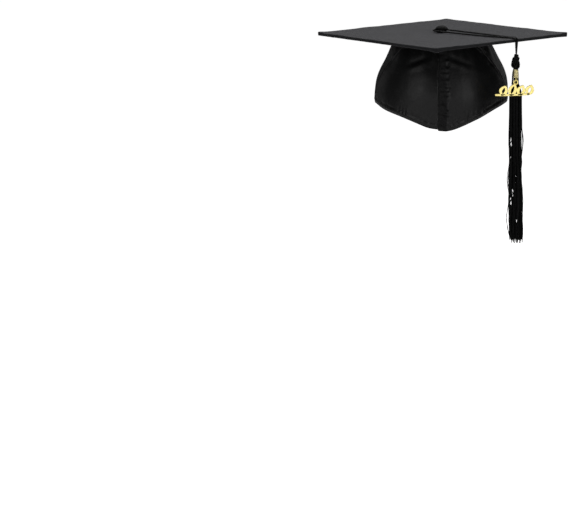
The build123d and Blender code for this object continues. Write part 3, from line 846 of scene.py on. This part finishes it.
def make_button():
    """Cloth-covered button: a low dome with the cloth drawn in under its rim."""
    radius = button_high[0]
    rim_level = BOARD_TOP + 4.0
    crown = button_high[2] + BUTTON_PADDING
    profile = [(BUTTON_NECK - 0.1, BOARD_TOP + 0.05), (BUTTON_NECK, BOARD_TOP + 1.2)]
    profile += [(BUTTON_NECK + 0.1, BOARD_TOP + 2.6), (radius - 0.7, BOARD_TOP + 3.1)]
    profile.append((radius - 0.15, BOARD_TOP + 3.6))
    for angle in np.radians(np.linspace(4, 89, 20)):
        climb = (crown - rim_level) * math.sin(angle) ** 0.9
        profile.append((radius * math.cos(angle), rim_level + climb))
    turn = np.arange(BUTTON_SEGMENTS) * 2 * math.pi / BUTTON_SEGMENTS
    cos, sin = np.cos(turn), np.sin(turn)
    pleats = np.sin(BUTTON_PLEATS * turn + 1.5 * np.sin(3 * turn))
    rings = []
    for ring, height in profile:
        reach = ring + 0.6 * (0.16 * smooth_step(ring, BUTTON_FLAT, radius) * pleats)
        lifted = height + 0.05 * ripple_over(cos * ring, sin * ring, 6.0, 21)
        lifted += 0.0 if ring > BUTTON_FLAT else 0.02
        rings.append(np.column_stack((reach * cos, reach * sin, lifted)))
    rows = len(profile)
    make_piece(
        "button_cloth_painted_shade", np.vstack(rings),
        strip_faces(rows, BUTTON_SEGMENTS, True) + end_faces(rows, BUTTON_SEGMENTS),
        BUTTON_CLOTH_PAINTED_SHADE, "cap", "board_cloth", ["button_cover"],
    )


make_button()


# ---- cord ----
# The cord's route in metres: the CAD's points, with more on the long straight stretches near the
# board's edge and the button, which keep the smooth line's bends tight.
CORD_ROUTE = [
    (0.1014, -0.0706, 0.0740),
    (0.1022, -0.0706, 0.0870),
    (0.1027, -0.0706, 0.0931),
    (0.1014, -0.0693, 0.0948),
    (0.0919, -0.0604, 0.09483),
    (0.0660, -0.0360, 0.0949),
    (0.0088, 0.0064, 0.09647),
    (0.0040, 0.0100, 0.0966),
    (-0.0034, 0.0104, 0.0966),
    (-0.0094, 0.0064, 0.0966),
    (-0.0116, -0.0006, 0.0966),
    (-0.0089, -0.0066, 0.0964),
    (-0.0039, -0.0099, 0.09629),
    (0.0568, -0.0492, 0.0949),
    (0.0875, -0.0656, 0.09483),
    (0.0990, -0.0717, 0.0948),
    (0.1002, -0.0731, 0.0931),
    (0.1006, -0.0731, 0.0870),
    (0.1014, -0.0731, 0.0740),
]
CORD_DIAMETER = 2.2
CORD_TWIST = 2 * math.pi / 7.0
CORD_PLIES = 3
# the plies bulge this far out of the CAD's round cord
CORD_LOFT = 0.12
CORD_STEP = 0.42


def spline_points(route):
    """Points along the smooth line of a cord whose control points are the route."""
    curve = bpy.data.curves.new("cord_line", "CURVE")
    curve.dimensions = "3D"
    curve.resolution_u = 32
    spline = curve.splines.new("NURBS")
    spline.points.add(len(route) - 1)
    for point, place in zip(spline.points, route):
        point.co = (*place, 1.0)
    spline.order_u = 3
    spline.use_endpoint_u = True
    holder = bpy.data.objects.new("cord_line", curve)
    line = bpy.data.meshes.new_from_object(holder)
    points = np.array([vertex.co for vertex in line.vertices], float)
    bpy.data.objects.remove(holder)
    bpy.data.meshes.remove(line)
    return points


def evenly(points, spacing):
    """The same line with points a spacing apart."""
    steps = np.linalg.norm(np.diff(points, axis=0), axis=1)
    along = np.concatenate(([0.0], np.cumsum(steps)))
    wanted = np.linspace(0, along[-1], max(int(along[-1] / spacing), 2))
    return np.column_stack([np.interp(wanted, along, points[:, axis]) for axis in range(3)])


def make_cord():
    """The doubled cord: one twisted length out of the knot, round the button and back."""
    line = spline_points(CORD_ROUTE)
    path = evenly(line / MM, CORD_STEP)
    points, faces, uvs = tube(path, CORD_DIAMETER / 2 + CORD_LOFT, 24, CORD_TWIST, CORD_PLIES, 0.34)
    cord = make_piece(
        "tassel_cord", points, faces, CORD, None, "tassel_cord",
        ["tassel_cord_lying", "tassel_cord_hanging"], uvs=uvs,
    )
    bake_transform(cord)


make_cord()


# ---- tassel ----
BALL_RADIUS = (knot_high[0] - knot_low[0]) / 2
KNOT_TOP = knot_high[2]
NECK_TOP = knot_low[2]
BALL_TOP = KNOT_TOP - 4.6
BALL_OFFSET = 0.8
KNOT_CORD = 1.2
KNOT_LEADS = 3
KNOT_BIGHTS = 4
WRAP_CORD = 1.1
WRAP_TURNS = 2.4


def around_tassel(reach, turn, height, shift=0.0):
    """Path at a reach and an angle from the tassel's line."""
    return np.column_stack((
        TASSEL_X + shift + reach * np.cos(turn), TASSEL_Y + reach * np.sin(turn), height
    ))


def make_knot():
    """The knot: one cord plaited over and under itself into a ball, with wraps above it."""
    bundle = Bundle()
    middle = (BALL_TOP + NECK_TOP) / 2 + 0.2
    rise = (BALL_TOP - NECK_TOP) / 2 - KNOT_CORD + 0.4
    travel = np.linspace(0, 2 * math.pi * KNOT_LEADS, 620)
    swing = KNOT_BIGHTS * travel / KNOT_LEADS
    climb = np.cos(swing)
    ring = (BALL_RADIUS - KNOT_CORD + 0.1) * np.sqrt(1 - 0.62 * climb**2) + 0.5 * np.sin(2 * swing)
    path = around_tassel(ring, travel, middle + rise * climb, -BALL_OFFSET * (1 - climb**4))
    bundle.add(*tube(path, KNOT_CORD, 18, CORD_TWIST * 1.1, CORD_PLIES, 0.32))
    angle = np.linspace(0, 2 * math.pi * WRAP_TURNS, 150)
    height = BALL_TOP - 0.6 + angle / angle[-1] * (KNOT_TOP - BALL_TOP - 0.8)
    path = around_tassel(2.25 + 0.25 * np.sin(angle * 0.5), angle, height)
    bundle.add(*tube(path, WRAP_CORD, 16, CORD_TWIST * 1.1, CORD_PLIES, 0.32))
    # a plain core fills the ball behind the plaiting
    swell = np.sin(np.linspace(0, math.pi, 16))
    spine = np.column_stack((
        TASSEL_X - 0.7 * swell, np.full(16, TASSEL_Y), np.linspace(NECK_TOP, KNOT_TOP - 0.4, 16)
    ))
    bundle.add(*tube(spine, 1.6 + 3.1 * swell * np.linspace(1.0, 0.35, 16), 20))
    bundle.make("tassel_knot_plaited", CORD, "tassel", "tassel_cord", ["tassel_knot"])


make_knot()

YARNS = 230
STRAYS = 16
YARN_RADIUS = 0.52
# how far to the right the fringe's end hangs
SWAY = 3.2
LOCK_SPREAD = 1.05
LOCK_WIDTH = 8.5
PUSH_REACH = 2.2
# see-through slits between the locks: (place across, height, half width, half length)
PARTINGS = [
    (-5.6, -45.0, 1.15, 7.5), (-5.9, -61.0, 1.0, 5.0), (-3.4, -112.0, 1.1, 8.0), (-5.9, -124.0, 1.2, 7.5),
    (0.8, -94.0, 1.1, 4.5), (1.4, -152.0, 0.95, 4.0),
]
# yarns that stand away: (angle, height, how far, half length)
LOOSE = [
    (3.05, -96.0, 2.6, 18.0), (3.25, -98.0, 2.2, 19.0), (3.14, -95.0, 2.4, 17.0), (0.12, -42.0, 2.2, 15.0),
    (-0.1, -44.0, 1.9, 14.0), (3.2, -150.0, 3.2, 26.0), (3.1, -152.0, 3.0, 24.0), (0.0, -165.0, 1.6, 14.0),
]
FRINGE_TOP = fringe_high[2]
FRINGE_BOTTOM = fringe_low[2]
SHOULDER = FRINGE_TOP - 24.0
NECK_RADIUS = 1.8
SHOULDER_RADIUS = 8.6
END_RADIUS = (fringe_high[0] - fringe_low[0]) / 2


def fringe_radius(height):
    """Radius of the fringe: the bound neck, the shoulder that swells out of it, the long skirt."""
    swell = np.clip((FRINGE_TOP - height) / (FRINGE_TOP - SHOULDER), 0, 1)
    shoulder = NECK_RADIUS + (SHOULDER_RADIUS - NECK_RADIUS) * np.sin(swell * math.pi / 2) ** 1.15
    skirt = np.clip((SHOULDER - height) / (SHOULDER - FRINGE_BOTTOM), 0, 1)
    return shoulder + (END_RADIUS - SHOULDER_RADIUS) * skirt


def make_fringe():
    """The fringe: separate yarns out of the neck, hanging in loose locks, cut unevenly."""
    random = np.random.default_rng(31)
    bundle = Bundle()
    golden = math.pi * (3 - math.sqrt(5))
    for index in range(YARNS + STRAYS):
        stray = index >= YARNS
        share = 1.0 if stray else math.sqrt((index + 0.5) / YARNS)
        turn = random.uniform(0, 2 * math.pi) if stray else index * golden + random.uniform(-0.15, 0.15)
        planned = LOOSE[index - YARNS] if stray and index - YARNS < len(LOOSE) else None
        if planned:
            turn = planned[0]
        cuts = [random.uniform(*span) for span in ((-0.5, 4.0), (-6.0, 0.0), (4.0, 12.0))]
        low = FRINGE_BOTTOM + random.choice(cuts, p=(0.72, 0.13, 0.15))
        height = np.concatenate((
            np.linspace(NECK_TOP - 0.2, FRINGE_TOP, 4)[:-1],
            np.linspace(FRINGE_TOP, SHOULDER, 9)[:-1],
            np.linspace(SHOULDER, low, 34),
        ))
        drop = np.clip((SHOULDER - height) / (SHOULDER - FRINGE_BOTTOM), 0, 1)
        reach = share * (fringe_radius(height) - 0.9 * YARN_RADIUS)
        reach = reach + drop * random.normal(0, 0.3)
        if planned:
            reach = reach + planned[2] * bell(height - planned[1], planned[3])
        elif stray:
            middle = random.uniform(FRINGE_BOTTOM + 5, SHOULDER - 50)
            reach = reach + random.uniform(0.8, 2.6) * bell(height - middle, random.uniform(12, 26))
            reach = reach + random.uniform(-0.5, 2.2) * drop**5
        phase = random.uniform(0, 2 * math.pi, 2)
        x = reach * np.cos(turn) + 0.2 * drop * np.sin(height / 17 * 2 * math.pi + phase[0])
        y = reach * np.sin(turn) + 0.2 * drop * np.sin(height / 15 * 2 * math.pi + phase[1])
        lock = np.column_stack((x, y, 0.11 * height))
        loose = LOCK_SPREAD * drop**0.7
        sway = SWAY * drop**1.6
        path = np.column_stack((
            TASSEL_X + x + loose * ripple(lock, LOCK_WIDTH, 61) + sway,
            TASSEL_Y + y + loose * ripple(lock, LOCK_WIDTH, 62),
            height,
        ))
        thickness = YARN_RADIUS * (0.75 if stray else 1.0) * np.ones(len(height))
        thickness[:3] *= 0.8
        thickness[-1] *= random.uniform(0.35, 1.1)
        for across, level_at, half_width, half_length in PARTINGS:
            aside = path[:, 0] - TASSEL_X - sway - across
            push = half_width * bell(height - level_at, half_length) * np.exp(-np.abs(aside) / PUSH_REACH)
            path[:, 0] += np.where(aside > 0, push, -push)
        bundle.add(*tube(path, thickness, 6))
    bundle.make("tassel_fringe_yarns", YARN, "tassel", "tassel_yarn", ["tassel_fringe", "tassel_neck"])


make_fringe()


def make_neck_loops():
    """Yarns that run down beside and behind the coil, from the knot into the fringe."""
    random = np.random.default_rng(47)
    bundle = Bundle()
    for turn in np.radians(np.concatenate((np.linspace(48, 196, 20), np.linspace(56, 190, 15)))):
        share = np.linspace(0, 1, 20)
        height = NECK_TOP + 1.5 + (FRINGE_TOP - 9.0 - NECK_TOP) * share
        reach = 4.1 + random.uniform(-0.1, 0.75) * np.sin(share * math.pi) + random.uniform(-0.1, 0.1)
        reach += 1.2 * share**3
        reach -= 1.6 * (1 - share) ** 6
        turned = turn + 0.25 * share * random.uniform(-1, 1)
        bundle.add(*tube(around_tassel(reach, turned, height), YARN_RADIUS, 6))
    bundle.make("tassel_neck_loops", YARN, "tassel", "tassel_yarn")


make_neck_loops()


# ---- charm ----
CHARM_BASE = 19.2
CHARM_PLANE = -83.0
CHARM_THICKNESS = 1.5
CHARM_BEVEL = 0.45
LEAF_WIDTH = 11.4
LEAF_STROKE = 4.1
LEAF_TIP = 3.6
LEAF_FOOT = 3.4
LEAF_SPACING = 11.4
LEAF_LEAN = math.radians(20.0)
# each leaf's place along the stem, its length and how high it stands
LEAVES = ((-2, 15.0, 0.4), (-1, 17.6, 0.2), (0, 15.6, 0.6), (1, 15.0, 1.6))
STEM_LEFT = -27.0
STEM_RIGHT = 18.8
STEM_HALF = 1.5
EYE_MIDDLE = 38.0
EYE_RADIUS = 2.6
EYE_WIRE = 0.9


def leaf_outline(length, width, base):
    """Pointed oval, its tip up."""
    share = np.linspace(0, 1, 48)
    half = width / 2 * np.sin(share * math.pi) ** 0.75 * (1.08 - 0.16 * share)
    climb = base + length * share
    return np.vstack((np.column_stack((half, climb)), np.column_stack((-half, climb))[-2:0:-1]))


def flat_solid(outlines):
    """Bevelled flat solid from an outline and its holes, as points, faces and map."""
    curve = bpy.data.curves.new("charm_outline", "CURVE")
    curve.dimensions = "2D"
    curve.fill_mode = "BOTH"
    curve.extrude = CHARM_THICKNESS / 2 - CHARM_BEVEL
    curve.bevel_depth = CHARM_BEVEL
    curve.bevel_resolution = 3
    curve.offset = -CHARM_BEVEL
    for outline in outlines:
        spline = curve.splines.new("POLY")
        spline.points.add(len(outline) - 1)
        for point, (x, y) in zip(spline.points, outline):
            point.co = (x, y, 0.0, 1.0)
        spline.use_cyclic_u = True
    holder = bpy.data.objects.new("charm_outline", curve)
    solid = bpy.data.meshes.new_from_object(holder)
    local = np.array([vertex.co for vertex in solid.vertices], float)
    faces = [tuple(polygon.vertices) for polygon in solid.polygons]
    bpy.data.objects.remove(holder)
    bpy.data.meshes.remove(solid)
    placed = np.column_stack((TASSEL_X + local[:, 0], CHARM_PLANE - local[:, 2], CHARM_BASE + local[:, 1]))
    return placed, faces, local[:, :2]


def stem_outline():
    """Slightly bowed bar with round ends that the leaves grow from."""
    x = np.linspace(STEM_LEFT, STEM_RIGHT, 60)
    middle = 1.8 + (x + 25.6) * (x + 17.0) * 0.0011
    from_end = np.minimum(x - STEM_LEFT, STEM_RIGHT - x)
    past = 1 - np.clip(from_end / STEM_HALF, 0, 1)
    ends = STEM_HALF * np.sqrt(np.clip(1 - past**2, 0.02, 1))
    upper, lower = np.column_stack((x, middle + ends)), np.column_stack((x, middle - ends))
    return np.vstack((upper, lower[::-1]))


def make_charm():
    """Gilt charm: four open leaves leaning off a bowed stem, hung from a round eye."""
    bundle = Bundle()
    bundle.add(*flat_solid([stem_outline()]))
    cos, sin = math.cos(LEAF_LEAN), math.sin(LEAF_LEAN)
    for place, length, lift in LEAVES:
        outlines = []
        opening = leaf_outline(length - LEAF_FOOT - LEAF_TIP, LEAF_WIDTH - 2 * LEAF_STROKE, LEAF_FOOT)
        for ring in (leaf_outline(length, LEAF_WIDTH, 0.0), opening):
            x, y = ring.T
            turned = np.column_stack((x * cos + y * sin, y * cos - x * sin))
            outlines.append(turned + np.array(((place + 0.72) * LEAF_SPACING - 3.8, lift)))
        bundle.add(*flat_solid(outlines))
    angle = np.linspace(0, 2 * math.pi, 64)
    path = np.column_stack((
        TASSEL_X + EYE_RADIUS * np.cos(angle),
        np.full(64, CHARM_PLANE),
        EYE_MIDDLE + EYE_RADIUS * np.sin(angle),
    ))
    bundle.add(*tube(path, EYE_WIRE, 18))
    bundle.make("leaf_charm_gilt", GOLD, "charm", "gold_metal", ["leaf_charm"], seam_angle=40)


make_charm()


# ---- CAD nodes that stay ----
KEPT = {
    "board_core": CHIPBOARD,
    "board_underside_lining": BOARD_CLOTH,
    "button_core": PLASTIC,
    "button_shank": STEEL,
    "button_backplate": STEEL,
    "crown_top": BOARD_CLOTH,
    "neck_coil": GILT_WIRE_PAINTED_LIGHT,
    "jump_ring": GOLD,
}
for name, material in KEPT.items():
    nodes[name].data.materials.clear()
    nodes[name].data.materials.append(material)


# ---- studio ----
FLOOR_LEVEL = -0.62
FLOOR_REACH = 30.0
WHITE = (1.0, 1.0, 1.0, 1.0)
ROOM_LIGHT = 0.05


def make_stage():
    """Wide flat floor, pale and seen as nearly white."""
    mesh = bpy.data.meshes.new("floor")
    signs = ((-1, -1), (1, -1), (1, 1), (-1, 1))
    corners = [(x * FLOOR_REACH, y * FLOOR_REACH, FLOOR_LEVEL) for x, y in signs]
    mesh.from_pydata(corners, [], [(0, 1, 2, 3)])
    floor = new_object("floor", mesh)
    shader = Shader("pale_floor")
    tone = shader.noise(shader.coordinates(False), 2.0, 2.0)
    mesh.materials.append(shader.finish(
        Base_Color=shader.colour(tone, grey(0.80), grey(0.84)),
        Emission_Strength=shader.add("ShaderNodeLightPath").outputs["Is Camera Ray"],
        Roughness=0.9, Specular_IOR_Level=0.1, Emission_Color=(*grey(0.97), 1.0),
    ))


def make_light(name, place, aim, size, power):
    """Rectangular light at a place, turned towards its aim."""
    lamp = bpy.data.lights.new(name, "AREA")
    lamp.shape = "RECTANGLE"
    lamp.size, lamp.size_y = size
    lamp.energy = power
    turn = (Vector(aim) - Vector(place)).to_track_quat("-Z", "Y").to_matrix()
    new_object(name, lamp).matrix_world = Matrix.Translation(place) @ turn.to_4x4()


make_stage()
make_light("overhead_softbox", (0.2, 0.7, 1.6), (0, 0, 0.1), (2.0, 1.6), 50.0)
make_light("left_softbox", (-1.36, -1.64, 0.43), (0, 0, 0.03), (1.0, 1.4), 12.0)
make_light("right_softbox", (1.40, -1.60, 0.43), (0, 0, 0.03), (1.0, 1.4), 12.0)
make_light("right_edge_card", (1.4, 2.2, 0.3), (0, 0, 0.05), (0.5, 0.8), 0.75)
make_light("left_edge_card", (-2.1, 1.6, 0.3), (0, 0, 0.05), (0.5, 0.8), 0.8)
make_light("low_front_card", (-0.1, -2.2, -0.25), (0, 0, 0.03), (1.5, 0.7), 4.5)


def make_world():
    """Dim room, seen as plain white where nothing stands in front of it."""
    world = bpy.data.worlds.new("studio")
    world.use_nodes = True
    tree = world.node_tree
    dim = tree.nodes["Background"]
    dim.inputs["Color"].default_value = WHITE
    dim.inputs["Strength"].default_value = ROOM_LIGHT
    white = tree.nodes.new("ShaderNodeBackground")
    white.inputs["Color"].default_value = WHITE
    seen = tree.nodes.new("ShaderNodeLightPath")
    chosen = tree.nodes.new("ShaderNodeMixShader")
    tree.links.new(seen.outputs["Is Camera Ray"], chosen.inputs["Fac"])
    tree.links.new(dim.outputs["Background"], chosen.inputs[1])
    tree.links.new(white.outputs["Background"], chosen.inputs[2])
    tree.links.new(chosen.outputs["Shader"], tree.nodes["World Output"].inputs["Surface"])
    bpy.context.scene.world = world


make_world()
bpy.context.scene.view_settings.view_transform = "Standard"
bpy.context.scene.view_settings.look = "None"
